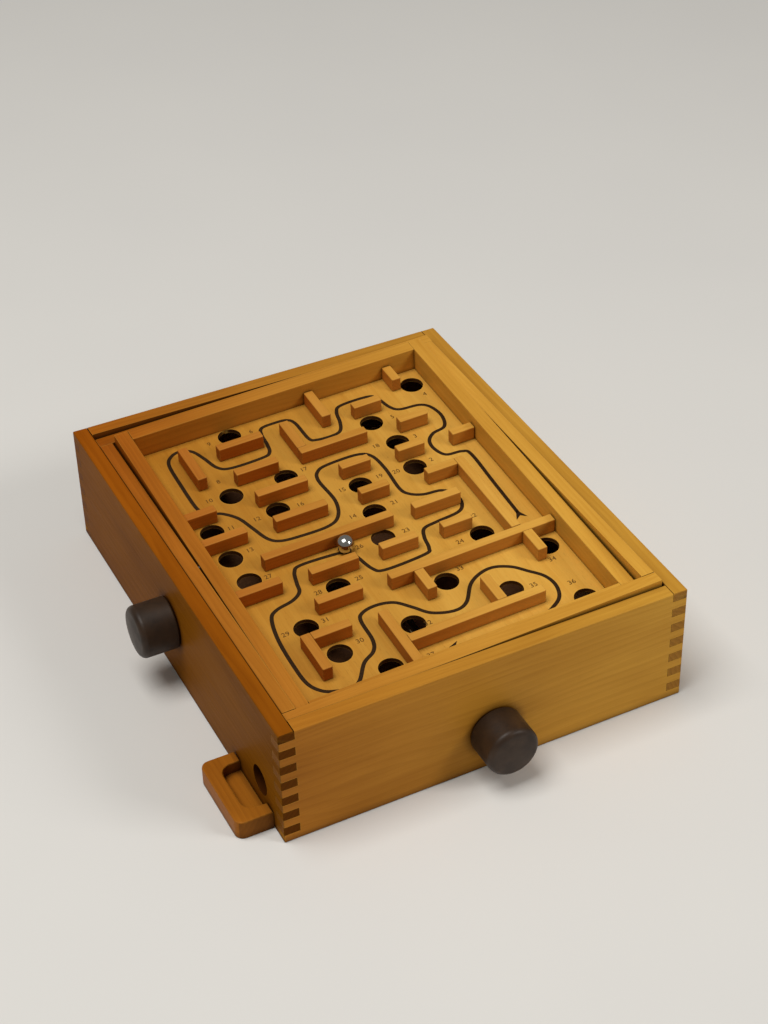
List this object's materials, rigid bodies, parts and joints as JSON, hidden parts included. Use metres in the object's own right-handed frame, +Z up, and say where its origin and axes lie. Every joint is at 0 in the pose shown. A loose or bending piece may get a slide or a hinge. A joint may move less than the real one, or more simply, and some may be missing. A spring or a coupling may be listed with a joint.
{
  "type": "tilt maze game",
  "caption": "Wooden box game: a holed maze board on a two-axis gimbal, tilted by a front and a side knob, with a steel ball and a catch tray.",
  "frame": {"origin": "middle of the whole outline's footprint, on the face the box stands on", "axes": "+Y from the front knob's wall to the back wall along the long side, +Z up, +X to the right; the side knob is on the -X wall"},
  "size_m": [0.2956, 0.3556, 0.0941],
  "materials": {
    "box_wood": "satin varnish, warm honey",
    "frame_wood": "satin varnish, golden",
    "strip_wood": "satin varnish, reddish honey",
    "board_ply": "varnished pale plywood with a printed line",
    "hardboard": "bare hardboard",
    "knob_lacquer": "satin black-brown",
    "steel": "drawn steel rod",
    "spring_steel": "drawn spring wire",
    "ball_chrome": "polished",
    "cord": "twisted cotton cord"
  },
  "bodies": {
    "box": {"front_wall": "box_wood", "back_wall": "box_wood", "left_wall": "box_wood", "right_wall": "box_wood", "return_floor": "hardboard", "left_batten": "box_wood", "right_batten": "box_wood", "catch_tray": "box_wood", "gimbal_front_pin": "steel", "gimbal_back_pin": "steel", "gimbal_cord": "cord", "tray_cord": "cord"},
    "gimbal": {"gimbal_front_bar": "frame_wood", "gimbal_back_bar": "frame_wood", "gimbal_left_bar": "frame_wood", "gimbal_right_bar": "frame_wood", "tray_left_pin": "steel", "tray_right_pin": "steel", "gimbal_spring": "spring_steel"},
    "maze_tray": {"maze_board": "board_ply", "tray_front_bar": "frame_wood", "tray_back_bar": "frame_wood", "tray_left_bar": "frame_wood", "tray_right_bar": "frame_wood", "tray_spring": "spring_steel", "maze_strip_01": "strip_wood", "maze_strip_02": "strip_wood", "maze_strip_03": "strip_wood", "maze_strip_04": "strip_wood", "maze_strip_05": "strip_wood", "maze_strip_06": "strip_wood", "maze_strip_07": "strip_wood", "maze_strip_08": "strip_wood", "maze_strip_09": "strip_wood", "maze_strip_10": "strip_wood", "maze_strip_11": "strip_wood", "maze_strip_12": "strip_wood", "maze_strip_13": "strip_wood", "maze_strip_14": "strip_wood", "maze_strip_15": "strip_wood", "maze_strip_16": "strip_wood", "maze_strip_17": "strip_wood", "maze_strip_18": "strip_wood", "maze_strip_19": "strip_wood", "maze_strip_20": "strip_wood", "maze_strip_21": "strip_wood", "maze_strip_22": "strip_wood", "maze_strip_23": "strip_wood", "maze_strip_24": "strip_wood", "maze_strip_25": "strip_wood", "maze_strip_26": "strip_wood", "maze_strip_27": "strip_wood"},
    "front_knob": {"front_knob": "knob_lacquer", "front_shaft": "steel"},
    "side_knob": {"side_knob": "knob_lacquer", "side_shaft": "steel"},
    "ball": {"steel_ball": "ball_chrome"}
  },
  "joints": [
    {"name": "gimbal_tilt", "type": "hinge", "parent": "box", "child": "gimbal", "pos_m": [0.01275, 0.01275, 0.081], "axis": [0, 1, 0], "range_deg": [-2.8, 6.2], "deforming": ["gimbal_cord", "tray_cord"]},
    {"name": "tray_tilt", "type": "hinge", "parent": "gimbal", "child": "maze_tray", "pos_m": [0.01275, 0.01275, 0.081], "axis": [0.9996, 0, 0.0297], "range_deg": [-7.2, 1.8], "deforming": ["tray_cord"]},
    {"name": "front_knob_turn", "type": "hinge", "parent": "box", "child": "front_knob", "pos_m": [0.01575, -0.15225, 0.0285], "axis": [0, 1, 0], "range_deg": [-56.1, 124.1]},
    {"name": "side_knob_turn", "type": "hinge", "parent": "box", "child": "side_knob", "pos_m": [-0.12225, 0.01275, 0.0435], "axis": [1, 0, 0], "range_deg": [-108.1, 27.1]},
    {"name": "ball_lift", "type": "slide", "parent": "maze_tray", "child": "ball", "axis": [-0.0296, -0.0471, 0.9985], "range_m": [0, 0.06]}
  ],
  "couplings": [
    {"joint": "front_knob_turn", "follows": "gimbal_tilt", "ratio": 20},
    {"joint": "side_knob_turn", "follows": "tray_tilt", "ratio": 15}
  ]
}
